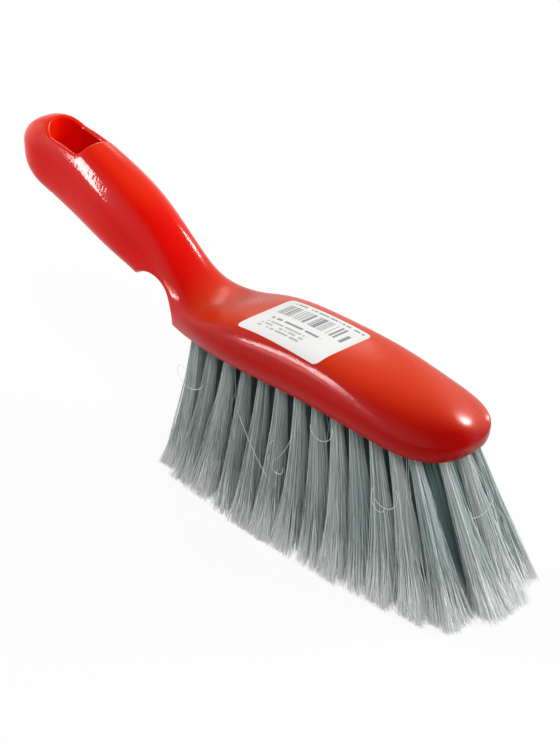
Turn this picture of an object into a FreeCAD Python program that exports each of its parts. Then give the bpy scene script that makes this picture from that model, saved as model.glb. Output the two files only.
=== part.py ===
import FreeCAD, Part
import math
import os
from FreeCAD import Placement, Rotation, Vector

# A hand broom: block and handle in one moulding, four rows of bristle tufts folded
# into blind holes and held there by flat wire staples, and a paper label on the block.
# Millimetres, +Z up. The trimmed bristles stand on z = 0 and the handle points to -X.
# Until the last step x is measured from the heel, the end of the underside by the handle.

# Bristles
TRIM_LENGTH = 66.5          # trimmed ends to the underside of the block
TUFT_DIAMETER = 4.8         # bundle where it is gripped
TUFT_CLEARANCE = 0.1        # bundle to hole, all round
TUFT_PITCH = 10.8           # along a row
ROW_COUNT = 4
TUFT_STRAIGHT = 2.0         # bundle leaves its hole this far before it fans out
HOLE_DEPTH = 9.5
FOLD_ROOM = 0.8             # over the folded end, for tufts that lean
HEEL_MARGIN = 16.5          # heel to the first tuft of an outer row
NOSE_MARGIN = 17.5          # nose to the last tuft of an outer row
EDGE_MARGIN = 5.2           # edge of the underside to an outer row
FAN_LENGTH = 193.0          # the whole field of trimmed ends
FAN_WIDTH = 75.0
FAN_FORWARD = 11.2          # middle of the trimmed ends, ahead of the middle of the roots
FAN_SQUARENESS = 3.0        # outline of the trimmed ends; 2 would be an ellipse
FAN_END_WIDTH = 46.5        # width left at the first and last tufts
TUFT_GAP = 0.7              # between the trimmed ends of neighbours
TUFT_CORNER = 2.6           # cut off the corners of a trimmed end
GROOVE_WIDTH = 3.6          # in the middle of each side of a trimmed end, between its locks
GROOVE_DEPTH = 2.0
GRIP_GROOVE_WIDTH = 0.6     # the same grooves where the bundle is gripped

# Staples
STAPLE_WIRE = 0.4
STAPLE_HEIGHT = 2.0
STAPLE_BITE = 1.0           # each end is driven this far past the hole
STAPLE_COVER = 2.2          # bristles folded over the staple
STAPLE_CLEARANCE = 0.05

# Block; heights are above its underside
BLOCK_LENGTH = 164.6
BLOCK_WIDTH = 47.4          # towards the nose, where it is widest
BLOCK_WAIST_WIDTH = 43.8    # along the middle
BLOCK_HEIGHT = 20.8
BLOCK_WIDEST_HEIGHT = 7.0
BLOCK_UNDERCUT = 16.0       # the rounded side would close this far below its widest line
BLOCK_SQUARENESS = 5.0      # of the section; 2 would be an ellipse
BLOCK_UNDER_SQUARENESS = 2.6
SADDLE_HEIGHT = 13.0        # lowest place of the crown, where the neck runs out
SADDLE_WIDTH = 36.6
SADDLE_FROM_HEEL = 11.0
SADDLE_WIDTH_FROM_HEEL = 7.7
WAIST_FROM_HEEL = 25.3      # full width of the waist from here on
NOSE_HEIGHT = 12.8          # crown where the nose starts to round off
NOSE_TIP_HEIGHT = 3.8
NOSE_PLAN_LENGTH = 31.5     # rounded in plan
NOSE_PLAN_SQUARENESS = 2.65
NOSE_END_LENGTH = 23.0      # rounded from the side
NOSE_END_SQUARENESS = 2.2
NOSE_SQUARENESS = 2.35

# Along the block's crown, from the saddle to the start of the nose
RISE_AT = 0.16              # share of the way, and of the climb to the full height
RISE_DONE = 0.28
FULL_AT = 0.45
FALL_AT = 0.72              # share of the way, and of the drop to the nose still to come
FALL_LEFT = 0.88
NOSE_RUN_OUT = 0.55         # of the nose's height, where its crown would end unrounded

# Handle; depths are upright, from the straight line of its underside to the crown
HANDLE_LENGTH = 116.5       # heel to the far tip
HANDLE_SLOPE = 17.0         # degrees, of the underside
HANDLE_CLEARANCE = 11.4     # finger stop above the underside of the block
HANDLE_DEPTH = 37.0
HANDLE_TIP_DEPTH = 26.0
HANDLE_SHOULDER_DEPTH = 33.3
HANDLE_WIDTH = 30.1
HANDLE_TIP_WIDTH = 27.7
HANDLE_SQUARENESS = 2.5
HANDLE_UNDER_SQUARENESS = 3.8
HANDLE_TIP_ROUND = 19.0
HANDLE_TIP_SQUARENESS = 2.1
NECK_DEPTH = 24.7
NECK_WIDTH = 27.8
NECK_SQUARENESS = 2.3
FINGER_RADIUS = 17.4        # hollow under the neck, from the heel to the finger stop
FINGER_EDGE_RADIUS = 1.5

# Where those depths and widths are taken, as shares of the way from the heel to the tip
NECK_DEPTH_AT = 0.08
NECK_WIDTH_AT = 0.11
SHOULDER_AT = 0.25
SWELL_AT = 0.35
GRIP_FROM = 0.47
GRIP_TO = 0.72
TAPER_AT = 0.64

# Hanging hole, straight down through the handle
HANG_WIDTH = 17.0
HANG_LENGTH = 27.5
HANG_FROM_TIP = 19.0
HANG_CORNER_RADIUS = 3.0
HANG_RIM_RADIUS = 1.5

# Paper label
LABEL_LENGTH = 50.0
LABEL_WIDTH = 32.5
LABEL_CORNER_RADIUS = 2.5
LABEL_THICKNESS = 0.15
LABEL_FROM_HEEL = 45.2
LABEL_ASIDE = -2.3          # off the middle line
LABEL_TURN = -1.9           # degrees, stuck on a little askew
LABEL_LIFT = 0.02           # glue

# How finely the moulding's skin is drawn
SECTION_COUNT = 30
SECTION_STEPS = 12          # in half a section

UNDERSIDE = TRIM_LENGTH
TIP_X = -HANDLE_LENGTH
NOSE_X = BLOCK_LENGTH
FINGER_STOP_X = -FINGER_RADIUS - math.sqrt(FINGER_RADIUS ** 2 - HANDLE_CLEARANCE ** 2)
REACH = 4 * (HANDLE_LENGTH + BLOCK_LENGTH)


def smooth_line(points):
    """Natural cubic curve through (x, value) points, as a function of x."""
    xs = [point[0] for point in points]
    values = [point[1] for point in points]
    spans = [after - before for before, after in zip(xs, xs[1:])]
    slopes = [(after - before) / span for before, after, span in zip(values, values[1:], spans)]
    carried = [(0.0, 0.0)]
    for i in range(1, len(spans)):
        share, rest = carried[-1]
        pivot = 2 * (spans[i - 1] + spans[i]) - spans[i - 1] * share
        load = 6 * (slopes[i] - slopes[i - 1]) - spans[i - 1] * rest
        carried.append((spans[i] / pivot, load / pivot))
    bends = [0.0] * len(points)
    for i in range(len(spans) - 1, 0, -1):
        share, rest = carried[i]
        bends[i] = rest - share * bends[i + 1]

    def value(x):
        i = max(j for j in range(len(spans)) if j == 0 or xs[j] <= x)
        before = x - xs[i]
        after = xs[i + 1] - x
        curve = (bends[i] * after ** 3 + bends[i + 1] * before ** 3) / (6 * spans[i])
        start = (values[i] / spans[i] - bends[i] * spans[i] / 6) * after
        end = (values[i + 1] / spans[i] - bends[i + 1] * spans[i] / 6) * before
        return curve + start + end

    return value


def smooth_step(x, start, end):
    """0 before start, 1 after end, rising smoothly between them."""
    share = min(max((x - start) / (end - start), 0.0), 1.0)
    return share * share * (3 - 2 * share)


def between(low, high, share):
    return low + (high - low) * share


def rounded_off(into, length, squareness):
    """How much of a section is left, this far into an end of that length."""
    share = min(max(into / length, 0.0), 1.0)
    return (1 - share ** squareness) ** (1 / squareness)


def on_handle(share):
    """A place on the handle, from 0 at the heel to 1 at its tip."""
    return TIP_X * share


def handle_line(x):
    """Straight underside of the handle, drawn on through the neck."""
    ahead = x - FINGER_STOP_X
    return UNDERSIDE + HANDLE_CLEARANCE - ahead * math.tan(math.radians(HANDLE_SLOPE))


def crown_points():
    """Top of the moulding along its middle, from the tip of the handle to the nose."""
    depths = [
        (1.0, HANDLE_TIP_DEPTH),
        (GRIP_TO, HANDLE_DEPTH),
        (GRIP_FROM, HANDLE_DEPTH),
        (SHOULDER_AT, HANDLE_SHOULDER_DEPTH),
        (NECK_DEPTH_AT, NECK_DEPTH),
    ]
    points = [(on_handle(share), handle_line(on_handle(share)) + depth) for share, depth in depths]
    nose_start = NOSE_X - NOSE_END_LENGTH
    heights = [
        (SADDLE_FROM_HEEL, SADDLE_HEIGHT),
        (between(SADDLE_FROM_HEEL, nose_start, RISE_AT), between(SADDLE_HEIGHT, BLOCK_HEIGHT, RISE_DONE)),
        (between(SADDLE_FROM_HEEL, nose_start, FULL_AT), BLOCK_HEIGHT),
        (between(SADDLE_FROM_HEEL, nose_start, FALL_AT), between(NOSE_HEIGHT, BLOCK_HEIGHT, FALL_LEFT)),
        (nose_start, NOSE_HEIGHT),
        (NOSE_X, between(NOSE_TIP_HEIGHT, NOSE_HEIGHT, NOSE_RUN_OUT)),
    ]
    return points + [(x, UNDERSIDE + height) for x, height in heights]


def width_points():
    """Full width of the moulding, at its widest level."""
    return [
        (TIP_X, HANDLE_TIP_WIDTH),
        (on_handle(TAPER_AT), HANDLE_TIP_WIDTH),
        (on_handle(SWELL_AT), HANDLE_WIDTH),
        (on_handle(NECK_WIDTH_AT), NECK_WIDTH),
        (SADDLE_WIDTH_FROM_HEEL, SADDLE_WIDTH),
        (WAIST_FROM_HEEL, BLOCK_WAIST_WIDTH),
        (BLOCK_LENGTH / 2, BLOCK_WAIST_WIDTH),
        (NOSE_X - NOSE_PLAN_LENGTH, BLOCK_WIDTH),
        (NOSE_X, BLOCK_WIDTH),
    ]


crown_line = smooth_line(crown_points())
width_line = smooth_line(width_points())
TIP_LEVEL = handle_line(TIP_X) + HANDLE_TIP_DEPTH / 2
NOSE_LEVEL = UNDERSIDE + NOSE_TIP_HEIGHT


def closing_line(x):
    """Where the section would close below, before the underside and the hollow are cut."""
    block_line = UNDERSIDE + BLOCK_WIDEST_HEIGHT - BLOCK_UNDERCUT
    return between(handle_line(x), block_line, smooth_step(x, FINGER_STOP_X, 0))


def widest_level(x):
    handle_level = (crown_line(x) + closing_line(x)) / 2
    block_level = UNDERSIDE + BLOCK_WIDEST_HEIGHT
    return between(handle_level, block_level, smooth_step(x, -SADDLE_FROM_HEEL, SADDLE_FROM_HEEL))


def squareness(x):
    """Exponents of the upper and the lower half of the section."""
    past_neck = smooth_step(x, 0, WAIST_FROM_HEEL)
    upper = between(HANDLE_SQUARENESS, NECK_SQUARENESS, smooth_step(x, on_handle(GRIP_FROM), 0))
    upper = between(upper, BLOCK_SQUARENESS, past_neck)
    upper = between(upper, NOSE_SQUARENESS, smooth_step(x, NOSE_X - 2 * NOSE_PLAN_LENGTH, NOSE_X))
    return upper, between(HANDLE_UNDER_SQUARENESS, BLOCK_UNDER_SQUARENESS, past_neck)


def half_curve(centre, side, rise, exponent):
    """Half of a rounded outline, from one side over the rise to the other, upright at both ends."""
    points = []
    for i in range(SECTION_STEPS + 1):
        turn = math.pi * i / SECTION_STEPS
        out = math.cos(turn)
        up = math.sin(turn)
        reach = (abs(out) ** exponent + up ** exponent) ** (-1 / exponent)
        points.append(centre + side * (out * reach) + rise * (up * reach))
    steps = [i / SECTION_STEPS for i in range(SECTION_STEPS + 1)]
    upright = rise * math.pi
    curve = Part.BSplineCurve()
    curve.interpolate(
        Points=points,
        Parameters=steps,
        InitialTangent=upright,
        FinalTangent=-upright,
        Scale=False,
    )
    return curve.toShape()


def section(x):
    """Closed outline of the moulding at one place along it, split at its widest level."""
    tip_left = rounded_off(TIP_X + HANDLE_TIP_ROUND - x, HANDLE_TIP_ROUND, HANDLE_TIP_SQUARENESS)
    into_nose = x - NOSE_X
    plan_left = rounded_off(into_nose + NOSE_PLAN_LENGTH, NOSE_PLAN_LENGTH, NOSE_PLAN_SQUARENESS)
    end_left = rounded_off(into_nose + NOSE_END_LENGTH, NOSE_END_LENGTH, NOSE_END_SQUARENESS)
    height_left = tip_left * end_left
    end_level = TIP_LEVEL if x < 0 else NOSE_LEVEL
    centre = Vector(x, 0, between(end_level, widest_level(x), height_left))
    side = Vector(0, width_line(x) / 2 * tip_left * plan_left, 0)
    above = Vector(0, 0, (crown_line(x) - widest_level(x)) * height_left)
    below = Vector(0, 0, (closing_line(x) - widest_level(x)) * height_left)
    upper, lower = squareness(x)
    return Part.Wire([half_curve(centre, side, above, upper), half_curve(centre, -side, below, lower)])


def moulding_skin():
    """Outer form of block and handle, from the handle's tip to the nose."""
    stations = []
    for i in range(1, SECTION_COUNT + 1):
        share = (1 - math.cos(math.pi * i / (SECTION_COUNT + 1))) / 2
        stations.append(between(TIP_X, NOSE_X, share))
    tip = Part.Vertex(TIP_X, 0, TIP_LEVEL)
    nose = Part.Vertex(NOSE_X, 0, NOSE_LEVEL)
    return Part.makeLoft([tip] + [section(x) for x in stations] + [nose], True)


def underside_tool():
    """All that lies below the flat underside."""
    return Part.makeBox(2 * REACH, REACH, REACH, Vector(-REACH, -REACH / 2, UNDERSIDE - REACH))


def finger_hollow():
    """Round bar across the neck, centred on the level of the underside."""
    end = Vector(-FINGER_RADIUS, REACH / 2, UNDERSIDE)
    return Part.makeCylinder(FINGER_RADIUS, REACH, end, Vector(0, -1, 0))


def hanging_hole():
    """D-shaped hole: straight across at the neck end, a half round at the tip end."""
    half = HANG_WIDTH / 2
    tip_end = TIP_X + HANG_FROM_TIP
    neck_end = tip_end + HANG_LENGTH
    near = Vector(tip_end + half, -half, 0)
    far = Vector(tip_end + half, half, 0)
    near_corner = Vector(neck_end, -half, 0)
    far_corner = Vector(neck_end, half, 0)
    outline = Part.Wire([
        Part.Arc(far, Vector(tip_end, 0, 0), near).toShape(),
        Part.LineSegment(near, near_corner).toShape(),
        Part.LineSegment(near_corner, far_corner).toShape(),
        Part.LineSegment(far_corner, far).toShape(),
    ])
    prism = Part.Face(outline).extrude(Vector(0, 0, REACH))
    corners = [edge for edge in prism.Edges if edge.BoundBox.XMin > neck_end - half]
    upright = [edge for edge in corners if edge.BoundBox.ZLength > half]
    return prism.makeFillet(HANG_CORNER_RADIUS, upright)


def soften_hollow(body):
    """Round the edges between the finger hollow and the handle."""
    edges = []
    for face in body.Faces:
        if isinstance(face.Surface, Part.Cylinder) and face.Surface.Radius == FINGER_RADIUS:
            edges += [edge for edge in face.Edges if edge.BoundBox.ZLength > FINGER_EDGE_RADIUS]
    return body.makeFillet(FINGER_EDGE_RADIUS, edges)


def soften_rim(body):
    """Round both rims of the hanging hole."""
    hole = hanging_hole().BoundBox
    hole.enlarge(HANG_RIM_RADIUS)
    edges = []
    for edge in body.Edges:
        size = edge.BoundBox
        upright = size.XLength + size.YLength < HANG_RIM_RADIUS
        if not edge.Degenerated and hole.isInside(size) and not upright:
            edges.append(edge)
    return body.makeFillet(HANG_RIM_RADIUS, edges)


def underside_half_width():
    """Half width of the flat underside along the waist of the block."""
    left = rounded_off(BLOCK_WIDEST_HEIGHT, BLOCK_UNDERCUT, BLOCK_UNDER_SQUARENESS)
    return BLOCK_WAIST_WIDTH / 2 * left


class Tuft:
    """One bundle: its name, root on the underside, trimmed end and the size it fans out to."""

    def __init__(self, name, root, end, half_length, half_width):
        self.name = name
        self.root = root
        self.end = end
        self.half_length = half_length
        self.half_width = half_width
        self.axis = (end - root).normalize()
        lengthwise = Vector(1, 0, 0)
        self.along = (lengthwise - self.axis * lengthwise.dot(self.axis)).normalize()
        self.across = self.axis.cross(self.along)

    def inside(self, depth):
        """A point on the bundle's axis, this deep in its hole."""
        return self.root - self.axis * depth


def tuft_layout():
    """Every tuft, row by row. Inner rows are set half a pitch off the outer ones."""
    room = BLOCK_LENGTH - HEEL_MARGIN - NOSE_MARGIN
    steps = math.floor(room / TUFT_PITCH)
    middle = HEEL_MARGIN + room / 2
    row_pitch = 2 * (underside_half_width() - EDGE_MARGIN) / (ROW_COUNT - 1)
    spread = (FAN_LENGTH + TUFT_GAP) / ((steps + 2) * TUFT_PITCH)
    fan_middle = middle + FAN_FORWARD
    fan_pitch = (FAN_WIDTH + TUFT_GAP) / ROW_COUNT
    end_place = rounded_off(FAN_END_WIDTH, FAN_WIDTH, FAN_SQUARENESS)
    fan_half = spread * (steps + 1) * TUFT_PITCH / 2 / end_place

    def width_left(ahead):
        return rounded_off(abs(ahead) * spread, fan_half, FAN_SQUARENESS)

    tufts = []
    for row in range(ROW_COUNT):
        aside = row - (ROW_COUNT - 1) / 2
        outer = row in (0, ROW_COUNT - 1)
        row_steps = steps if outer else steps + 1
        for number in range(row_steps + 1):
            ahead = (number - row_steps / 2) * TUFT_PITCH
            left = width_left(ahead)
            next_out = min(abs(ahead) + TUFT_PITCH / 2, steps * TUFT_PITCH / 2)
            room_left = left if outer else min(left, width_left(next_out))
            tufts.append(Tuft(
                name=f"tuft_row{row + 1}_{number + 1:02d}",
                root=Vector(middle + ahead, aside * row_pitch, UNDERSIDE),
                end=Vector(fan_middle + ahead * spread, aside * fan_pitch * left, 0),
                half_length=(TUFT_PITCH * spread - TUFT_GAP) / 2,
                half_width=fan_pitch * (room_left - left / 2) - TUFT_GAP / 2,
            ))
    return tufts


def centred_box(tuft, depth, length, width, height):
    """Box square to a tuft, centred this deep in its hole."""
    box = Part.makeBox(length, width, height, Vector(-length / 2, -width / 2, -height / 2))
    turn = Rotation(tuft.along, tuft.across, tuft.axis, "ZXY")
    box.Placement = Placement(tuft.inside(depth), turn)
    return box


HOLE_DIAMETER = TUFT_DIAMETER + 2 * TUFT_CLEARANCE
GRIP_DEPTH = HOLE_DEPTH - FOLD_ROOM
STAPLE_DEPTH = GRIP_DEPTH - STAPLE_COVER - STAPLE_HEIGHT / 2
STAPLE_LENGTH = HOLE_DIAMETER + 2 * STAPLE_BITE


def staple(tuft, room=0.0):
    """Flat wire driven across the hole, or the slit it cuts when given some room."""
    sizes = [size + 2 * room for size in (STAPLE_LENGTH, STAPLE_WIRE, STAPLE_HEIGHT)]
    return centred_box(tuft, STAPLE_DEPTH, *sizes)


def tuft_hole(tuft):
    """Blind hole along the tuft's axis, through the underside."""
    mouth = tuft.inside(-HOLE_DIAMETER)
    return Part.makeCylinder(HOLE_DIAMETER / 2, HOLE_DEPTH + HOLE_DIAMETER, mouth, -tuft.axis)


def ring(centre, half_length, half_width, corner, groove):
    """Level rectangle with its corners cut off and a groove in each side, as a list of points."""
    depth = groove * GROOVE_DEPTH / GROOVE_WIDTH
    lock = [
        (groove / 2, half_width),
        (half_length - corner, half_width),
        (half_length, half_width - corner),
        (half_length, groove / 2),
    ]
    quarter = [Vector(x, y, 0) for x, y in lock]
    flipped = [Vector(x, -y, 0) for x, y in reversed(lock)]
    half = quarter + [Vector(half_length - depth, 0, 0)] + flipped + [Vector(0, depth - half_width, 0)]
    return [centre + point for point in half] + [centre - point for point in half]


def banded_solid(rings):
    """Solid with flat sides through rings of points whose edges run alike."""
    faces = [Part.Face(Part.makePolygon(points + points[:1])) for points in (rings[0], rings[-1])]
    for upper, lower in zip(rings, rings[1:]):
        for i in range(len(upper)):
            quad = [upper[i - 1], upper[i], lower[i], lower[i - 1]]
            faces.append(Part.Face(Part.makePolygon(quad + quad[:1])))
    return Part.Solid(Part.Shell(faces))


def bristle_bundle(tuft):
    """Bristles folded over the staple, straight out of the hole, then fanning out in four locks."""
    flat = math.radians(22.5)
    grip = TUFT_DIAMETER / 2 * math.cos(flat)
    grip_corner = grip - TUFT_DIAMETER / 2 * math.sin(flat)
    fold = grip / 2
    solid = banded_solid([
        ring(tuft.inside(GRIP_DEPTH), fold, fold, grip_corner / 2, GRIP_GROOVE_WIDTH / 2),
        ring(tuft.inside(GRIP_DEPTH - fold), grip, grip, grip_corner, GRIP_GROOVE_WIDTH),
        ring(tuft.inside(-TUFT_STRAIGHT), grip, grip, grip_corner, GRIP_GROOVE_WIDTH),
        ring(tuft.end, tuft.half_length, tuft.half_width, TUFT_CORNER, GROOVE_WIDTH),
    ])
    return solid.cut(staple(tuft, STAPLE_CLEARANCE))


def moulded_body(skin, tufts):
    """Block and handle: the skin with its underside, hollow, hanging hole and tuft holes."""
    body = skin.cut(underside_tool())
    body = soften_hollow(body.cut(finger_hollow()))
    body = soften_rim(body.cut(hanging_hole()))
    holes = [tuft_hole(tuft) for tuft in tufts]
    slits = [staple(tuft, STAPLE_CLEARANCE) for tuft in tufts]
    return body.cut(holes + slits)


def paper_label(skin):
    """Sheet with rounded corners, lying on the crown of the block."""
    level = UNDERSIDE + BLOCK_WIDEST_HEIGHT
    corner = Vector(LABEL_FROM_HEEL, LABEL_ASIDE - LABEL_WIDTH / 2, level)
    prism = Part.makeBox(LABEL_LENGTH, LABEL_WIDTH, BLOCK_HEIGHT, corner)
    upright = [edge for edge in prism.Edges if edge.BoundBox.ZLength > BLOCK_HEIGHT / 2]
    prism = prism.makeFillet(LABEL_CORNER_RADIUS, upright)
    prism.rotate(prism.BoundBox.Center, Vector(0, 0, 1), LABEL_TURN)
    patch = skin.Faces[0].common(prism).Faces[0]
    patch.translate(Vector(0, 0, LABEL_LIFT))
    return patch.extrude(Vector(0, 0, LABEL_THICKNESS))


def main():
    tufts = tuft_layout()
    skin = moulding_skin()
    parts = {
        "handle_block": moulded_body(skin, tufts),
        "label": paper_label(skin),
        "staples": Part.makeCompound([staple(tuft) for tuft in tufts]),
    }
    for tuft in tufts:
        parts[tuft.name] = bristle_bundle(tuft)
    fan_front = max(tuft.end.x + tuft.half_length for tuft in tufts)
    to_middle = Vector(-(TIP_X + fan_front) / 2, 0, 0)
    os.makedirs("parts", exist_ok=True)
    for name, shape in parts.items():
        shape.translate(to_middle)
        shape.exportStep(f"parts/{name}.step")
    print(len(parts), "parts,", len(tufts), "tufts, moved by", round(to_middle.x, 3))


main()
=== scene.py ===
# %% [markdown]
# A hand broom, dressed for its portrait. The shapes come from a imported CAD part, so the
# first step is to load it. Every object that is made later lies in the same frame, in metres:
# +Z is up, the trimmed bristles stand on z = 0 and the handle points to -X.

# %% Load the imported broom
import math
import random
from collections import namedtuple

import bmesh
import bpy
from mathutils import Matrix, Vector


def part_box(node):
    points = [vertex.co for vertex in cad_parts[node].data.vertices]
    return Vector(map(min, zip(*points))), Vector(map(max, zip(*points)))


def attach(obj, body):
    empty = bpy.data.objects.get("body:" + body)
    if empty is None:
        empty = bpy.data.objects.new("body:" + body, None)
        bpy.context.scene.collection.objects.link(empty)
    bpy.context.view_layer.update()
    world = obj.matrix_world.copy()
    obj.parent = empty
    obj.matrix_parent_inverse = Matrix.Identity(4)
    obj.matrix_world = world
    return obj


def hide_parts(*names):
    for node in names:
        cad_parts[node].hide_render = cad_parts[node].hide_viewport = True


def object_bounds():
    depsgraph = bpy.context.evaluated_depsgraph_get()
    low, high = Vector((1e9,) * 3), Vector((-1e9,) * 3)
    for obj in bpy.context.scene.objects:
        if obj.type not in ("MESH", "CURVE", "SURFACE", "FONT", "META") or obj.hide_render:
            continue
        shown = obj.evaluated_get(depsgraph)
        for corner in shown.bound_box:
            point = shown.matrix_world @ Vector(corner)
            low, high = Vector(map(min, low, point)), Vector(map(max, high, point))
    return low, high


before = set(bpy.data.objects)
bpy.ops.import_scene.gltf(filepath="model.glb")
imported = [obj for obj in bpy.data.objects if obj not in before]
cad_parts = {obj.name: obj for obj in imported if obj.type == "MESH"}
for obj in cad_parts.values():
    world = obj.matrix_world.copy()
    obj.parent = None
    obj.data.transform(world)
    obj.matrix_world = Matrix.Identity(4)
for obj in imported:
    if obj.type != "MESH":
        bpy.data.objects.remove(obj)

cad_low, cad_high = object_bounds()
print("CAD box from", list(cad_low), "to", list(cad_high))

# %% [markdown]
# The camera. A product photograph is taken from a little above with a long lens, so lines
# that run along the broom stay nearly parallel. The camera goes round a point in the middle
# of the broom: an angle round it, an angle above it and a distance say all there is to say.

# %% Camera
LOOKED_AT = Vector((0.0168, 0.0, 0.0576))
CAMERA_TURN = math.radians(46.46)
CAMERA_RISE = math.radians(29.98)
CAMERA_DISTANCE = 0.8465
FILM_HEIGHT = 36.0
LENS = 94.0


def direction(turn, rise):
    """Unit vector from the broom to a place round and above it; turn 0 is in front, at -Y."""
    level = math.cos(rise)
    return Vector((math.sin(turn) * level, -math.cos(turn) * level, math.sin(rise)))


def aim(thing, place, target):
    thing.location = place
    thing.rotation_euler = (target - place).to_track_quat("-Z", "Y").to_euler()
    bpy.context.collection.objects.link(thing)


film = bpy.data.cameras.new("camera")
film.sensor_fit = "VERTICAL"
film.sensor_height = FILM_HEIGHT
film.lens = LENS
camera = bpy.data.objects.new("camera", film)
aim(camera, LOOKED_AT + direction(CAMERA_TURN, CAMERA_RISE) * CAMERA_DISTANCE, LOOKED_AT)
bpy.context.scene.camera = camera
print("camera at", [round(v, 3) for v in camera.location])

# %% [markdown]
# A small helper for node trees. Nodes can be joined by hand, one link at a time, but sums such
# as 1 - mask are easier to read as sums. A Wire is a node's output that knows how to be added
# and multiplied; each operation adds a Math node. A Sheet is the tree that the nodes lie on,
# and its add method makes any other node: its settings first, then its sockets.


# %% Wires and sheets
class Wire:
    """The output of a node, ready for sums with numbers and other wires."""

    def __init__(self, sheet, socket):
        self.sheet = sheet
        self.socket = socket

    def also(self, name):
        """Another output of the same node."""
        return Wire(self.sheet, self.socket.node.outputs[name])

    def __add__(self, other):
        return self.sheet.maths("ADD", self, other)

    __radd__ = __add__

    def __sub__(self, other):
        return self.sheet.maths("SUBTRACT", self, other)

    def __rsub__(self, other):
        return self.sheet.maths("SUBTRACT", other, self)

    def __mul__(self, other):
        return self.sheet.maths("MULTIPLY", self, other)

    __rmul__ = __mul__

    def __truediv__(self, other):
        return self.sheet.maths("DIVIDE", self, other)

    def __pow__(self, other):
        return self.sheet.maths("POWER", self, other)

    def __gt__(self, other):
        return self.sheet.maths("GREATER_THAN", self, other)

    def __lt__(self, other):
        return self.sheet.maths("LESS_THAN", self, other)


class Sheet:
    """A node tree that is being drawn."""

    def __init__(self, tree):
        self.tree = tree
        tree.nodes.clear()

    def add(self, kind, settings=None, sockets=None, output=0):
        """One node: its settings, then a value or a wire for each named or numbered socket."""
        node = self.tree.nodes.new(kind)
        for name, value in (settings or {}).items():
            setattr(node, name, value)
        for name, value in (sockets or {}).items():
            if isinstance(value, Wire):
                self.tree.links.new(value.socket, node.inputs[name])
            else:
                node.inputs[name].default_value = value
        return Wire(self, node.outputs[output]) if len(node.outputs) else node

    def maths(self, operation, *values):
        return self.add("ShaderNodeMath", {"operation": operation}, dict(enumerate(values)))

    def vectors(self, operation, *values):
        return self.add("ShaderNodeVectorMath", {"operation": operation}, dict(enumerate(values)))

    def scaled(self, vector, factor):
        sockets = {0: vector, "Scale": factor}
        return self.add("ShaderNodeVectorMath", {"operation": "SCALE"}, sockets)

    def vector(self, x, y, z):
        return self.add("ShaderNodeCombineXYZ", None, {0: x, 1: y, 2: z})

    def step(self, value, start, end):
        """0 before start, 1 after end, and a smooth rise between them."""
        settings = {"interpolation_type": "SMOOTHSTEP"}
        return self.add("ShaderNodeMapRange", settings, {0: value, 1: start, 2: end})

    def blend(self, share, first, second):
        """From the first colour to the second."""
        return self.add("ShaderNodeMix", {"data_type": "RGBA"}, {0: share, 6: first, 7: second}, 2)

    def mix_vectors(self, share, first, second):
        return self.add("ShaderNodeMix", {"data_type": "VECTOR"}, {0: share, 4: first, 5: second}, 1)

    def noise(self, place, scale, detail=2.0):
        sockets = {"Vector": place, "Scale": scale, "Detail": detail}
        return self.add("ShaderNodeTexNoise", {"noise_dimensions": "3D"}, sockets)


class Finish(Sheet):
    """A material with one Principled shader."""

    def __init__(self, name, **constants):
        self.material = bpy.data.materials.new(name)
        self.material.use_nodes = True
        super().__init__(self.material.node_tree)
        self.shader = self.tree.nodes.new("ShaderNodeBsdfPrincipled")
        for socket, value in constants.items():
            self.shader.inputs[socket.replace("_", " ")].default_value = value
        out = self.tree.nodes.new("ShaderNodeOutputMaterial")
        self.tree.links.new(self.shader.outputs[0], out.inputs["Surface"])
        self.place = self.add("ShaderNodeTexCoord", output="Object")

    def paint(self, socket, wire):
        self.tree.links.new(wire.socket, self.shader.inputs[socket])

    def emboss(self, height, depth, normal=None):
        """Bump of that depth, in metres, on the surface's normal or on another."""
        sockets = {"Strength": 1.0, "Distance": depth, "Height": height}
        if normal:
            sockets["Normal"] = normal
        self.paint("Normal", self.add("ShaderNodeBump", None, sockets))


print("helpers ready")

# %% [markdown]
# The studio. The broom stands on a white floor in front of a white sky. A background that is
# white because it is flooded with light would bleach the broom too. So the floor and the sky
# have a second face: rays that come from the eye, straight or by way of a mirror or glass, see
# plain white, and all other rays see a softer white that only lights the broom gently. Near
# the broom a part of the floor's true shading shows through: a faint shadow under the bristles.

# %% Floor and sky
FLOOR_HALF = 3.0
FLOOR_SHADE_SHOWN = 0.12
SHADE_NEAR = 0.15
SHADE_FAR = 0.5
SKY_LIGHT = 0.4
WHITE = (1.0, 1.0, 1.0, 1.0)
FLOOR_WHITE = (0.8, 0.8, 0.8, 1.0)


def seen(sheet):
    """1 for rays that show the background, 0 for rays that only carry light."""
    path = sheet.add("ShaderNodeLightPath", output="Is Camera Ray")
    mirrored = sheet.maths("MAXIMUM", path, path.also("Is Glossy Ray"))
    return sheet.maths("MAXIMUM", mirrored, path.also("Is Transmission Ray"))


def floor_material():
    material = bpy.data.materials.new("floor_white")
    material.use_nodes = True
    sheet = Sheet(material.node_tree)
    matt = sheet.add("ShaderNodeBsdfDiffuse", None, {"Color": FLOOR_WHITE})
    glow = sheet.add("ShaderNodeEmission", None, {"Color": WHITE, "Strength": 1.0})
    place = sheet.add("ShaderNodeTexCoord", output="Object")
    far = sheet.vectors("LENGTH", place).also("Value")
    shade_shown = FLOOR_SHADE_SHOWN * (1 - sheet.step(far, SHADE_NEAR, SHADE_FAR))
    share = seen(sheet) * (1 - shade_shown)
    mixed = sheet.add("ShaderNodeMixShader", None, {0: share, 1: matt, 2: glow})
    sheet.add("ShaderNodeOutputMaterial", None, {"Surface": mixed})
    return material


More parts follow.
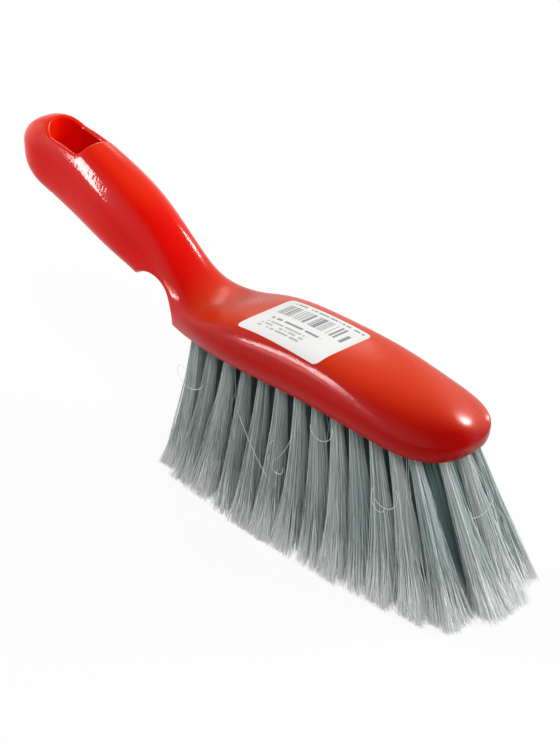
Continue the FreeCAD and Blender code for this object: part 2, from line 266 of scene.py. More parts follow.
def flat_floor(half):
    mesh = bpy.data.meshes.new("floor")
    corners = [(-half, -half, 0), (half, -half, 0), (half, half, 0), (-half, half, 0)]
    mesh.from_pydata(corners, [], [(0, 1, 2, 3)])
    mesh.materials.append(floor_material())
    return bpy.data.objects.new("floor", mesh)


floor = flat_floor(FLOOR_HALF)
bpy.context.collection.objects.link(floor)

sky = bpy.data.worlds.new("sky")
sky.use_nodes = True
bpy.context.scene.world = sky
air = Sheet(sky.node_tree)
brightness = SKY_LIGHT + seen(air) * (1 - SKY_LIGHT)
air.add("ShaderNodeOutputWorld", None, {
    "Surface": air.add("ShaderNodeBackground", None, {"Color": WHITE, "Strength": brightness}),
})
bpy.context.scene.view_settings.view_transform = "Standard"
print("floor", 2 * FLOOR_HALF, "m wide, sky light", SKY_LIGHT)

# %% [markdown]
# The lamps. Most of the light is soft: a key lamp low on the left, which also shows the relief
# of the tufts, a fill lamp above on the right and a rim lamp behind. Gloss shows the lamps
# themselves, so bright streaks need lamps in the right places. Those are kept apart from the
# soft ones: a tall, narrow panel whose image runs down the near shoulders, and a small lamp
# behind that puts a spot on the nose, are seen in mirrors only, and the soft lamps are not seen
# in mirrors at all. A dim panel behind on the left gives the flat top its sheen.

# %% Lamps
def soft_lamp(name, turn, rise, distance, width, height, watts):
    """A rectangular lamp, placed by its direction as seen from the broom, in degrees."""
    lamp = bpy.data.lights.new(name, "AREA")
    lamp.shape = "RECTANGLE"
    lamp.size = width
    lamp.size_y = height
    lamp.energy = watts
    place = LOOKED_AT + direction(math.radians(turn), math.radians(rise)) * distance
    panel = bpy.data.objects.new(name, lamp)
    aim(panel, place, LOOKED_AT)
    return panel


soft_lamps = (
    soft_lamp("key_lamp", turn=-80, rise=17, distance=1.2, width=0.5, height=0.5, watts=9.5),
    soft_lamp("fill_lamp", turn=60, rise=45, distance=1.2, width=0.6, height=0.6, watts=6.4),
    soft_lamp("rim_lamp", turn=135, rise=24, distance=1.2, width=0.7, height=0.6, watts=10.0),
)
mirror_lamps = (
    soft_lamp("streak_lamp", turn=-39, rise=26, distance=1.2, width=0.14, height=0.76, watts=12.0),
    soft_lamp("nose_lamp", turn=-181, rise=25, distance=1.0, width=0.09, height=0.26, watts=9.0),
)
soft_lamp("sheen_lamp", turn=-134, rise=30, distance=1.0, width=0.4, height=0.25, watts=1.3)
for lamp in soft_lamps:
    lamp.visible_glossy = False
for lamp in mirror_lamps:
    lamp.visible_diffuse = False
print("six lamps hung")

# %% [markdown]
# The plastic. The block and the handle are one glossy red moulding. Light and shade are painted
# into its colour: a lit, warmer red where the surface faces up and back, across the far side and
# at the handle's tip, and a shaded, deeper red below, on the near side, at the neck and towards
# the nose. So the colour follows the way that the surface faces and the place along the broom,
# and a slow drift in the pigment, which is the plastic's own.

# %% Reds
# Lit and shaded copies of one red: the warmer reds are painted light, the deeper ones painted shade.
RED_SHADED = (0.43, 0.0012, 0.0005, 1.0)
RED_NOSE_SHADED = (0.28, 0.0008, 0.0004, 1.0)
RED_LIT = (0.60, 0.036, 0.003, 1.0)
RED_HANDLE_SHADED = (0.66, 0.002, 0.0005, 1.0)
RED_HANDLE_LIT = (0.74, 0.022, 0.002, 1.0)
# Where the painted light falls: facing this way, towards the far side and at the handle's tip; the neck and
# the nose get painted shade.
LIT_SIDE = (-0.4, 0.55, 0.75)
LIT_ACROSS = 7.0
LIT_FULL = 0.95
LIT_TIP = 0.8
SHADED_NECK = 0.3
SHADED_NOSE = 0.3
DRIFT_SCALE = 14.0
DRIFT_DETAIL = 1.0
DRIFT_SHARE = 0.2
BLOCK_FADES_IN = (-0.06, -0.01)
NOSE_FADES_IN = (0.06, 0.14)
TIP_FADES_OUT = (-0.15, -0.11)
NECK_FADES_IN = (-0.075, -0.055)
NECK_FADES_OUT = (-0.045, -0.015)


def red_with_painted_light(finish, along, block, normal):
    """Painted light and shade: shaded red, and lit red where the normal points up and back."""
    # Places along the broom: painted light at the handle's tip, painted shade at the neck and towards the
    # nose.
    nose = finish.step(along, *NOSE_FADES_IN)
    tip = 1 - finish.step(along, *TIP_FADES_OUT)
    neck = finish.step(along, *NECK_FADES_IN) * (1 - finish.step(along, *NECK_FADES_OUT))
    drift = finish.noise(finish.place, DRIFT_SCALE, DRIFT_DETAIL)
    # How much painted light: facing up and back and lying towards the far side; the drift is the pigment's
    # own.
    facing = finish.vectors("DOT_PRODUCT", normal, LIT_SIDE).also("Value")
    places = tip * LIT_TIP - neck * SHADED_NECK - nose * SHADED_NOSE
    lit_sum = facing + drift * DRIFT_SHARE + along.also("Y") * LIT_ACROSS + places
    lit_share = finish.step(lit_sum, 0.0, LIT_FULL)
    # Shaded and lit reds for the handle and the block, with deeper painted shade at the nose; warm is the lit
    # red.
    shaded_red = finish.blend(block, RED_HANDLE_SHADED, finish.blend(nose, RED_SHADED, RED_NOSE_SHADED))
    warm = finish.blend(block, RED_HANDLE_LIT, RED_LIT)
    return finish.blend(lit_share, shaded_red, warm)


print("warm red is full from", LIT_FULL)

# %% [markdown]
# The gloss. Real mouldings have a polish that is never quite even, and faint scuffs along their
# length, so two noises vary the roughness. The block looks rounder than its true section,
# because its soft edges roll the light over. Bending the mesh would spoil the CAD shape, so only
# the shading normals lean, towards those of a long egg that lies in the block. The shoulders
# are a little more polished than the rest: a thin clear coat there carries the long streaks.

# %% Red plastic
RED_GLOSS = (1.0, 0.4, 0.32, 1.0)
GLOSS_LEVEL = 0.11
EGG_MIDDLE = (0.0458, 0.0, 0.0735)
EGG_HALF = (0.09, 0.0237, 0.0145)
EGG_SHARE = 0.4
HANDLE_ROUGHNESS = 0.12
BLOCK_MORE_ROUGH = 0.1
POLISH_SCALE = 90.0
POLISH_DETAIL = 3.0
POLISH_DEPTH = 0.05
SCUFF_STRETCH = (60.0, 900.0, 900.0)
SCUFF_FADES_IN = (0.62, 0.8)
SCUFF_DEPTH = 0.06
SHOULDER_SIDE = 0.81
SHOULDER_RISE = 0.59
SHOULDER_FADES_IN = (0.82, 1.0)
COAT_ROUGHNESS = 0.12
COAT_ON_HANDLE = 0.55
COAT_LESS_ON_BLOCK = 0.2
RIPPLE_SCALE = 160.0
RIPPLE_DETAIL = 1.0
RIPPLE_HEIGHT = 0.00001


def egg_normal(finish):
    """The normal of a long egg that lies in the block."""
    away = finish.vectors("SUBTRACT", finish.place, EGG_MIDDLE)
    steep = finish.vectors("MULTIPLY", away, [half ** -2 for half in EGG_HALF])
    return finish.vectors("NORMALIZE", steep)


def leaning_normal(finish, block):
    """The surface's normal, which leans towards the egg's on the block."""
    own = finish.add("ShaderNodeTexCoord", output="Normal")
    return finish.vectors("NORMALIZE", finish.mix_vectors(block * EGG_SHARE, own, egg_normal(finish)))


def shoulder_coat(finish, block, normal):
    """Weight of the clear coat: high where the surface faces up and to either side."""
    upward = finish.add("ShaderNodeSeparateXYZ", None, {0: normal}, "Z")
    sideways = finish.maths("ABSOLUTE", upward.also("Y"))
    shoulder = finish.step(sideways * SHOULDER_SIDE + upward * SHOULDER_RISE, *SHOULDER_FADES_IN)
    return shoulder * (COAT_ON_HANDLE - block * COAT_LESS_ON_BLOCK)


def red_plastic():
    finish = Finish(
        "red_plastic",
        Specular_IOR_Level=GLOSS_LEVEL, Specular_Tint=RED_GLOSS, Coat_Roughness=COAT_ROUGHNESS,
    )
    along = finish.add("ShaderNodeSeparateXYZ", None, {0: finish.place}, "X")
    block = finish.step(along, *BLOCK_FADES_IN)
    normal = leaning_normal(finish, block)
    finish.paint("Base Color", red_with_painted_light(finish, along, block, normal))
    polish = finish.noise(finish.place, POLISH_SCALE, POLISH_DETAIL)
    stretched = finish.vectors("MULTIPLY", finish.place, SCUFF_STRETCH)
    scuffs = finish.step(finish.noise(stretched, 1.0), *SCUFF_FADES_IN)
    roughness = HANDLE_ROUGHNESS + block * BLOCK_MORE_ROUGH
    finish.paint("Roughness", roughness + polish * POLISH_DEPTH + scuffs * SCUFF_DEPTH)
    finish.paint("Coat Weight", shoulder_coat(finish, block, normal))
    ripple = finish.noise(finish.place, RIPPLE_SCALE, RIPPLE_DETAIL)
    finish.emboss(ripple, RIPPLE_HEIGHT, normal)
    return finish.material


red_finish = red_plastic()
print("red plastic has", len(red_finish.node_tree.nodes), "nodes")

# %% [markdown]
# The moulding itself. Its shape is already right in the CAD part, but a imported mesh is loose
# triangles with flat shading, which a glossy surface shows up at once. So a copy is merged
# into one skin and shaded smooth, with only the true edges left sharp.

# %% Moulding
MERGE_DISTANCE = 0.000002
SHARP_ANGLE = math.radians(32.0)


def smooth_copy(node, name, material):
    """The shape of a CAD node as one smooth skin."""
    skin = bmesh.new()
    skin.from_mesh(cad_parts[node].data)
    bmesh.ops.remove_doubles(skin, verts=skin.verts, dist=MERGE_DISTANCE)
    bmesh.ops.dissolve_degenerate(skin, edges=skin.edges, dist=MERGE_DISTANCE)
    for face in skin.faces:
        face.smooth = True
        face.material_index = 0
    for edge in skin.edges:
        edge.smooth = not edge.is_manifold or edge.calc_face_angle() < SHARP_ANGLE
    mesh = bpy.data.meshes.new(name)
    skin.to_mesh(mesh)
    skin.free()
    mesh.materials.append(material)
    piece = bpy.data.objects.new(name, mesh)
    bpy.context.collection.objects.link(piece)
    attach(piece, "root")
    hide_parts(node)
    print(name, "has", len(mesh.polygons), "faces")
    return piece


moulding = smooth_copy("handle_block", "moulding", red_finish)

# %% [markdown]
# The label. A paper sticker with rounded corners, a little off the middle. Its print is only
# stripes and dashes: bars across one half and rows of short strokes on the other. They are
# drawn in the label's own plane, so the place on the object is moved to the label's middle
# and turned to its edges first.

# %% Print on the label
LABEL_TURN = math.radians(-1.9)
PRINT_EDGE = 0.00012
LINE_BAND = (0.2, 0.75, 0.1)
LINE_SEED = 11.0
LINE_SEED_STEP = 37.0
GAP_SHARE = 0.28


def between(sheet, value, low, high, edge):
    """1 where the value lies between two limits, with a soft edge."""
    return sheet.step(value, low - edge, low + edge) * (1 - sheet.step(value, high - edge, high + edge))


class Print:
    """Marks on the label, in metres along and across it from its middle."""

    def __init__(self, finish):
        self.finish = finish
        low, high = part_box("label")
        middle = (Vector(low) + Vector(high)) / 2
        local = finish.add("ShaderNodeMapping", {"vector_type": "TEXTURE"}, {
            "Vector": finish.place,
            "Location": (middle.x, middle.y, 0.0),
            "Rotation": (0, 0, LABEL_TURN),
        })
        self.along = finish.add("ShaderNodeSeparateXYZ", None, {0: local}, "X")
        self.across = self.along.also("Y")

    def strips(self, pitch, seed):
        """A random share for each strip of that pitch along the label."""
        strip = self.finish.maths("FLOOR", self.along / pitch)
        return self.finish.add("ShaderNodeTexWhiteNoise", {"noise_dimensions": "1D"}, {"W": strip + seed})

    def field(self, left, right, near, far):
        """1 inside a rectangle."""
        inside = between(self.finish, self.along, left, right, PRINT_EDGE)
        return inside * between(self.finish, self.across, near, far, PRINT_EDGE)

    def strokes(self, left, right, near, pitch, lines, stroke):
        """Lines of short strokes with gaps, as print looks from afar."""
        height = (self.across - near) / pitch
        line = between(self.finish, self.finish.maths("FRACT", height), *LINE_BAND)
        seed = LINE_SEED + self.finish.maths("FLOOR", height) * LINE_SEED_STEP
        marks = self.strips(stroke, seed) > GAP_SHARE
        return marks * line * self.field(left, right, near, near + pitch * lines)


print("label is turned by", round(math.degrees(LABEL_TURN), 1), "degrees")

# %% [markdown]
# The paper. It is nearly white, with a faint cloud of fibres that also gives a fine bump. The
# ink lies on top of it: each kind of mark has its own strength, and where two marks meet the
# stronger one shows.

# %% Label
PAPER = (0.74, 0.735, 0.725, 1.0)
PAPER_FIBRE = (0.62, 0.61, 0.59, 1.0)
INK = (0.08, 0.085, 0.09, 1.0)
PAPER_GLOSS = 0.3
PAPER_ROUGHNESS = 0.5
FIBRE_SCALE = 1800.0
FIBRE_DETAIL = 3.0
FIBRE_SHARE = 0.12
FIBRE_ROUGHNESS = 0.15
FIBRE_HEIGHT = 0.00002
INK_SMOOTHNESS = 0.1
BAR_PITCH = 0.00045
BAR_SEED = 3.0
BAR_SHARE = 0.5
BAR_FIELD = {"left": -0.02, "right": 0.0165, "near": 0.0026, "far": 0.0115}
END_BAR = {"left": 0.0185, "right": 0.0205, "near": 0.002, "far": 0.0085}
EDGE_LINE = {"left": -0.021, "right": 0.0225, "near": 0.0131, "pitch": 0.0019, "lines": 1, "stroke": 0.0009}
BOLD_LINE = {"left": -0.0205, "right": 0.013, "near": -0.0032, "pitch": 0.0026, "lines": 1, "stroke": 0.0016}
FINE_LINES = {"left": -0.0175, "right": 0.008, "near": -0.0115, "pitch": 0.0024, "lines": 3, "stroke": 0.0011}
DARK_INK = 0.8
BOLD_INK = 0.85
FINE_INK = 0.55


def printed_paper():
    finish = Finish("printed_paper", Specular_IOR_Level=PAPER_GLOSS)
    marks = Print(finish)
    ink = (marks.strips(BAR_PITCH, BAR_SEED) > BAR_SHARE) * marks.field(**BAR_FIELD) * DARK_INK
    for print_mark in (
        marks.field(**END_BAR) * DARK_INK,
        marks.strokes(**EDGE_LINE) * DARK_INK,
        marks.strokes(**BOLD_LINE) * BOLD_INK,
        marks.strokes(**FINE_LINES) * FINE_INK,
    ):
        ink = finish.maths("MAXIMUM", ink, print_mark)
    fibre = finish.noise(finish.place, FIBRE_SCALE, FIBRE_DETAIL)
    paper = finish.blend(fibre * FIBRE_SHARE, PAPER, PAPER_FIBRE)
    finish.paint("Base Color", finish.blend(ink, paper, INK))
    finish.paint("Roughness", PAPER_ROUGHNESS + fibre * FIBRE_ROUGHNESS - ink * INK_SMOOTHNESS)
    finish.emboss(fibre, FIBRE_HEIGHT)
    return finish.material


label = smooth_copy("label", "paper_label", printed_paper())

# %% [markdown]
# The bristles. A tuft is a bundle of plastic bristles, folded over a staple in its hole, so
# that it leaves the block as a tight round bundle and fans out to its trimmed end. Modelling
# thousands of bristles by hand is hopeless; Geometry Nodes make them from one point a tuft.
# What a tuft needs to know is measured on its CAD solid: a point in its hole, the middle and
# the half size of its trimmed end, and how far its ends may spread into its neighbours without
# leaving the outline of the broom. Painted shade darkens the tufts within, and painted light
# makes the outer tufts paler still towards both ends of the broom.

# %% Measure the tufts
ROWS = 4
LEVEL_STEP = 0.0002
ROOT_DEPTH = 0.004
SPREAD_ROOM = 1.8
# Tone factors of the tufts: painted shade within, painted light at both ends of the broom.
INNER_PAINTED_SHADE = 0.15
OUTER_TONE = 1.05
END_PAINTED_LIGHT = 1.7
# A tuft's tone is its painted light and shade, a factor on its bristles' tone.
Tuft = namedtuple("Tuft", "root end_middle end_half end_low end_high tone")


def tuft_names(row):
    return sorted(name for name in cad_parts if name.startswith(f"tuft_row{row}_"))


def ring_at(points, level):
    """Lowest and highest corners of the points on one level."""
    ring = [p for p in points if abs(p.z - level) < LEVEL_STEP]
    low = Vector([min(p[i] for p in ring) for i in range(3)])
    high = Vector([max(p[i] for p in ring) for i in range(3)])
    return low, high


def measure_solid(name):
    """A point inside the tuft's hole, and the middle and half size of its trimmed end."""
    points = [v.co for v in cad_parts[name].data.vertices]
    end_low, end_high = ring_at(points, min(p.z for p in points))
    fan_level = min(p.z for p in points if p.z > end_high.z + LEVEL_STEP)
    fan_low, fan_high = ring_at(points, fan_level)
    fan_middle = (fan_low + fan_high) / 2
    end_middle = (end_low + end_high) / 2
    root = fan_middle + (fan_middle - end_middle).normalized() * ROOT_DEPTH
    return root, end_middle, (end_high - end_low) / 2


def end_limits(row, place, middle, half):
    """Corners of the room for the ends; place runs from -1 at the heel to 1 at the nose."""
    low = middle - half * SPREAD_ROOM
    high = middle + half * SPREAD_ROOM
    high.z = cad_high[2]
    if row == 1:
        low.y = middle.y - half.y
    if row == ROWS:
        high.y = middle.y + half.y
    if place == -1:
        low.x = middle.x - half.x
    if place == 1:
        high.x = middle.x + half.x
    return low, high


def tuft_light_and_shade(row, place):
    """Painted shade within; painted light on the outside, strongest at both ends of the broom."""
    if row in (1, ROWS) or abs(place) == 1:
        return OUTER_TONE + (END_PAINTED_LIGHT - OUTER_TONE) * place ** 2
    return INNER_PAINTED_SHADE


def measure_row(row):
    names = tuft_names(row)
    measured = []
    for i, name in enumerate(names):
        place = 2 * i / (len(names) - 1) - 1
        root, middle, half = measure_solid(name)
        low, high = end_limits(row, place, middle, half)
        measured.append(Tuft(root, middle, half, low, high, tuft_light_and_shade(row, place)))
    return measured


tufts = {row: measure_row(row) for row in range(1, ROWS + 1)}
print("tufts in each row:", [len(tufts[row]) for row in tufts])

# %% [markdown]
# The finish of a bristle. It is a dull grey-green plastic, and its end is split into fine
# fibres that scatter the light, so the last part of it looks pale. Near the root it is darker:
# painted shade where the bristles leave the block. The tree that grows the bristles leaves two
# numbers on each point: how far along the bristle it lies, and a tone that belongs to the whole
# bristle, random and with its tuft's painted light and shade in it.

# %% Bristle plastic
# Painted shade near the roots, where the bristles leave the block.
BRISTLE_ROOT_SHADE = (0.09, 0.16, 0.15, 1.0)
# Low tones blend towards this dark: random dark strands, and painted shade in the tufts within.
BRISTLE_DARK_AND_SHADE = (0.11, 0.195, 0.185, 1.0)
BRISTLE_GREY = (0.64, 0.69, 0.675, 1.0)
BRISTLE_PALE = (0.86, 0.87, 0.865, 1.0)
STREAK_STRETCH = (160.0, 160.0, 25.0)
STREAK_LEAST = 0.7
STREAK_RANGE = 0.5
ROOT_SHADE_ENDS = 0.32
ROOT_SHADE_TONE = 0.25
SPLIT_FADES_IN = (0.76, 1.12)
SPLIT_TONE = 0.15
BRISTLE_GLOSS = 0.35
BRISTLE_ROUGHNESS = 0.38
SPLIT_ROUGHNESS = 0.25
TONE_ROUGHNESS = 0.08


def bristle_plastic():
    finish = Finish("bristle_plastic", Specular_IOR_Level=BRISTLE_GLOSS)
    along = finish.add("ShaderNodeAttribute", {"attribute_name": "along"}, None, "Fac")
    tone = finish.add("ShaderNodeAttribute", {"attribute_name": "tone"}, None, "Fac")
    streak = finish.noise(finish.vectors("MULTIPLY", finish.place, STREAK_STRETCH), 1.0)
    # Low tones give dark strands at random, and painted shade in the tufts within.
    grey = finish.blend(tone * (STREAK_LEAST + streak * STREAK_RANGE), BRISTLE_DARK_AND_SHADE, BRISTLE_GREY)
    # Painted shade near the root, ending sooner on paler bristles.
    past_root_shade = finish.step(along + tone * ROOT_SHADE_TONE, 0.0, ROOT_SHADE_ENDS)
    grey = finish.blend(past_root_shade, BRISTLE_ROOT_SHADE, grey)
    split = finish.step(along + tone * SPLIT_TONE, *SPLIT_FADES_IN)
    finish.paint("Base Color", finish.blend(split, grey, BRISTLE_PALE))
    finish.paint("Roughness", BRISTLE_ROUGHNESS + split * SPLIT_ROUGHNESS + tone * TONE_ROUGHNESS)
    return finish.material


bristle_finish = bristle_plastic()
print("bristle plastic has", len(bristle_finish.node_tree.nodes), "nodes")

# %% [markdown]
# Growing strands. Each tuft's point is copied once for each bristle, and each bristle's point
# once for each step along it, and the steps are then joined to a curve and given a three-sided
# profile. Curves drawn one by one would take far longer. The helper below is a Sheet for
# Geometry Nodes: it has named inputs, leaves values on points and draws random shares. Each kind
# of draw is a series of its own, so that a new kind at the end of the list changes none of the
# others.

# %% Growing strands
DRAWS = (
    "clump", "clump turn", "clump out", "own turn", "own out", "trim", "own phase", "own tone", "clump tone",
    "flag along", "flag across", "wander", "lean along", "lean across", "clump phase", "stray", "tuft tone",
)


class Grower(Sheet):
    """Geometry Nodes tree with named inputs."""

    def __init__(self, name):
        super().__init__(bpy.data.node_groups.new(name, "GeometryNodeTree"))
        self.identifiers = {}
        self.seed = 0
        self.tree.interface.new_socket("Geometry", in_out="OUTPUT", socket_type="NodeSocketGeometry")
        self.inlet("Geometry", "NodeSocketGeometry")

    def inlet(self, name, kind):
        socket = self.tree.interface.new_socket(name, in_out="INPUT", socket_type=kind)
        self.identifiers[name] = socket.identifier

    def attribute(self, name, kind="FLOAT"):
        return self.add("GeometryNodeInputNamedAttribute", {"data_type": kind}, {"Name": name})

    def keep(self, geometry, name, value, kind="FLOAT"):
        """Leave a value on every point, under a name."""
        settings = {"data_type": kind, "domain": "POINT"}
        sockets = {"Geometry": geometry, "Name": name, "Value": value}
        return self.add("GeometryNodeStoreNamedAttribute", settings, sockets)

    def number_points(self, geometry, name):
        return self.keep(geometry, name, self.add("GeometryNodeInputIndex"), "INT")

    def copies(self, geometry, amount):
        sockets = {"Geometry": geometry, "Amount": amount}
        return self.add("GeometryNodeDuplicateElements", {"domain": "POINT"}, sockets)

    def draw(self, series, number):
        """A random share that belongs to a number, from one of the series."""
        sockets = {"ID": number, "Seed": self.seed + (DRAWS.index(series) + 1)}
        return self.add("FunctionNodeRandomValue", {"data_type": "FLOAT"}, sockets, 1)


def strands(tree, points, steps, place, share, radius):
    """Points copied along each strand, joined and given a three-sided profile."""
    copied = tree.copies(points, steps)
    kept = tree.keep(copied, "part", copied.also("Duplicate Index") / (steps - 1))
    part = tree.attribute("part")
    kept = tree.keep(kept, "along", share(part))
    moved = tree.add("GeometryNodeSetPosition", None, {"Geometry": kept, "Position": place(part)})
    curves = tree.add("GeometryNodePointsToCurves", None, {
        "Points": moved,
        "Curve Group ID": tree.attribute("strand", "INT"),
        "Weight": part,
    })
    profile = tree.add("GeometryNodeCurvePrimitiveCircle", None, {"Resolution": 3, "Radius": 1.0})
    return tree.add("GeometryNodeCurveToMesh", None, {
        "Curve": curves,
        "Profile Curve": profile,
        "Scale": radius(part),
        "Fill Caps": True,
    })


print(len(DRAWS), "series of random draws")

# %% [markdown]
# The ends of a bristle. Where a bristle stands in its round bundle decides where it ends in the
# square fan, so bristles spread without crossing. They also gather in loose clumps, which gives
# the dark and light streaks, and in the four locks of the trimmed end. A whole tuft leans a
# little its own way, and a few bristles wander past the rest.

# %% Ends of a bristle
CLUMPS = 9
CLUMP_PULL = 0.12
LOCK_MIDDLE = 0.5
LOCK_PULL = 0.1
WANDER_FROM = 0.95
WANDER_MORE = 0.3


def disc_place(tree, first, second):
    """A random place in a round bundle of radius 1, and how far it moves out in a square one."""
    turn = first * math.tau
    out = tree.maths("SQRT", second)
    along = tree.maths("COSINE", turn)
    across = tree.maths("SINE", turn)
    to_square = (along ** 4 + across ** 4) ** -0.25
    return tree.vector(out * along, out * across, 0.0), to_square


def bristle_spots(tree, number, clump):
    """A bristle's place in the round bundle, and in a square end of half size 1."""
    middle, to_square = disc_place(tree, tree.draw("clump turn", clump), tree.draw("clump out", clump))
    gathered = tree.scaled(middle, to_square)
    own, to_square = disc_place(tree, tree.draw("own turn", number), tree.draw("own out", number))
    square = tree.scaled(own, to_square)
    lock = tree.scaled(tree.vectors("SIGN", square), LOCK_MIDDLE)
    return own, tree.mix_vectors(CLUMP_PULL, tree.mix_vectors(LOCK_PULL, square, lock), gathered)


def bristle_reach(tree, given, spot, number, tuft):
    """From the middle of the trimmed end to where the bristle ends."""
    reach = tree.vectors("MULTIPLY", spot, tree.attribute("end_half", "FLOAT_VECTOR"))
    reach = tree.vectors("MULTIPLY", reach, given.also("End spread"))
    wander = tree.draw("wander", number) > WANDER_FROM
    reach = tree.scaled(reach, 1 + wander * WANDER_MORE)
    lean = tree.vector(tree.draw("lean along", tuft) - 0.5, tree.draw("lean across", tuft) - 0.5, 0.0)
    return tree.vectors("ADD", reach, tree.scaled(lean, given.also("Tuft lean")))


def bristle_end(tree, given, reach, number):
    """The end itself: trimmed, and kept within the room that the tuft has."""
    trim = tree.draw("trim", number) ** 2 * given.also("Ragged trim")
    end = tree.vectors("ADD", tree.attribute("end_middle", "FLOAT_VECTOR"), reach)
    end = tree.vectors("ADD", end, tree.vector(0.0, 0.0, trim))
    end = tree.vectors("MAXIMUM", end, tree.attribute("end_low", "FLOAT_VECTOR"))
    return tree.vectors("MINIMUM", end, tree.attribute("end_high", "FLOAT_VECTOR"))


print("each tuft gathers in", CLUMPS, "clumps")

# %% [markdown]
# The path of a bristle, from its root to its end. A straight line would make the tufts look like
# cones. Real bristles stay together at first and spread late, so the sideways part of the path
# follows a power of the length. Each bristle also has a slight bow and a wave, much stronger in
# the very few that stray.

# %% Path of a bristle
FLARE_CURVE = 2.2
STRAY_SWAY = 4.0
WAVE_LENGTH = 9.0
WAVE_SHIFT = 40.0
WAVE_SHARE = 0.3


def bristle_place(tree, share, sway):
    """Where a bristle is, at that share of its length."""
    start = tree.attribute("start", "FLOAT_VECTOR")
    end = tree.attribute("end", "FLOAT_VECTOR")
    late = tree.scaled(tree.attribute("flare", "FLOAT_VECTOR"), share ** FLARE_CURVE - share)
    path = tree.vectors("ADD", tree.mix_vectors(share, start, end), late)
    phase = tree.attribute("phase")
    sway = sway * (1 + tree.attribute("stray") * STRAY_SWAY)
    bow = tree.maths("SINE", share * math.pi) * sway
    wave = tree.maths("SINE", share * WAVE_LENGTH + phase * WAVE_SHIFT) * share * sway * WAVE_SHARE
    aside = tree.vector(
        tree.maths("COSINE", phase * math.tau) * bow + wave,
        tree.maths("SINE", phase * math.tau) * bow + wave,
        0.0,
    )
    return tree.vectors("ADD", path, aside)


print("bristles spread with the power", FLARE_CURVE)

# %% [markdown]
# The points that the strands start from: one for each bristle. They carry all that belongs to a
# bristle, as named attributes: its start, its end, the sideways part of its path, the phase of
# its bow, whether it strays, and its tone, which also carries its tuft's painted light and shade.

# %% Points of the bristles
STRAY_SHARE = 0.006
OWN_PHASE = 0.4
OWN_TONE = 0.5
CLUMP_TONE = 0.5
TUFT_TONE_LEAST = 0.8
TUFT_TONE_RANGE = 0.35


def bristle_points(tree, given):
    roots = tree.add("GeometryNodeMeshToPoints", {"mode": "VERTICES"}, {"Mesh": given})
    roots = tree.number_points(roots, "tuft")
    points = tree.number_points(tree.copies(roots, given.also("Bristles in a tuft")), "strand")
    number = tree.attribute("strand", "INT")
    tuft = tree.attribute("tuft", "INT")
    clump = tree.maths("FLOOR", tree.draw("clump", number) * CLUMPS) + tuft * CLUMPS

    own, spot = bristle_spots(tree, number, clump)
    start_spot = tree.scaled(own, given.also("Bundle radius"))
    start = tree.vectors("ADD", tree.add("GeometryNodeInputPosition"), start_spot)
    reach = bristle_reach(tree, given, spot, number, tuft)
    end = bristle_end(tree, given, reach, number)
    points = tree.keep(points, "flare", tree.vectors("SUBTRACT", reach, start_spot), "FLOAT_VECTOR")
    points = tree.keep(points, "start", start, "FLOAT_VECTOR")
    points = tree.keep(points, "end", end, "FLOAT_VECTOR")

    phase = tree.draw("own phase", number) * OWN_PHASE + tree.draw("clump phase", clump)
    tone = tree.draw("own tone", number) * OWN_TONE + tree.draw("clump tone", clump) * CLUMP_TONE
    uneven = TUFT_TONE_LEAST + tree.draw("tuft tone", tuft) * TUFT_TONE_RANGE
    points = tree.keep(points, "phase", phase)
    points = tree.keep(points, "stray", tree.draw("stray", number) < STRAY_SHARE)
    # The tone carries random tone and the tuft's painted light and shade.
    return tree.keep(points, "tone", tone * uneven * tree.attribute("tuft_light_and_shade"))


print(STRAY_SHARE, "of the bristles stray")

# %% [markdown]
# The whole tree. A bristle tapers towards its end, where it is split: two finer flags leave it
# and spread a little. Both kinds of strand come from the same points, so the flags follow their
# bristle. They are joined, made real and given their finish at the end of the tree.

# %% Bristle tree
BRISTLE_INLETS = {
    "Bristles in a tuft": "NodeSocketInt",
    "Bundle radius": "NodeSocketFloat",
    "Bristle radius": "NodeSocketFloat",
    "Sway": "NodeSocketFloat",
    "Tuft lean": "NodeSocketFloat",
    "Ragged trim": "NodeSocketFloat",
    "End spread": "NodeSocketVector",
    "Seed": "NodeSocketInt",
}
BRISTLE_STEPS = 7
TIP_TAPER = 0.5
FLAGS = 2
FLAG_STEPS = 3
FLAG_FROM = 0.74
FLAG_SPREAD = 0.0026
FLAG_RADIUS = 0.8
FLAG_TAPER = 0.3


def whole_bristles(tree, points, sway, thick):
    return strands(
        tree, points, BRISTLE_STEPS,
        place=lambda part: bristle_place(tree, part, sway),
        share=lambda part: part,
        radius=lambda part: thick * (1 - tree.step(part, FLAG_FROM, 1.0) * TIP_TAPER),
    )


def split_ends(tree, points, sway, thick):
    """Fine flags that leave each bristle near its end."""
    flags = tree.number_points(tree.copies(points, FLAGS), "strand")
    flag = tree.attribute("strand", "INT")
    away = tree.vector(tree.draw("flag along", flag) - 0.5, tree.draw("flag across", flag) - 0.5, 0.0)
    away = tree.scaled(away, FLAG_SPREAD)

    def share(part):
        return FLAG_FROM + part * (1 - FLAG_FROM)

    def place(part):
        on_bristle = bristle_place(tree, share(part), sway)
        return tree.vectors("ADD", on_bristle, tree.scaled(away, part * part))

    def radius(part):
        return thick * (FLAG_RADIUS - part * FLAG_TAPER)

    return strands(tree, flags, FLAG_STEPS, place, share, radius)


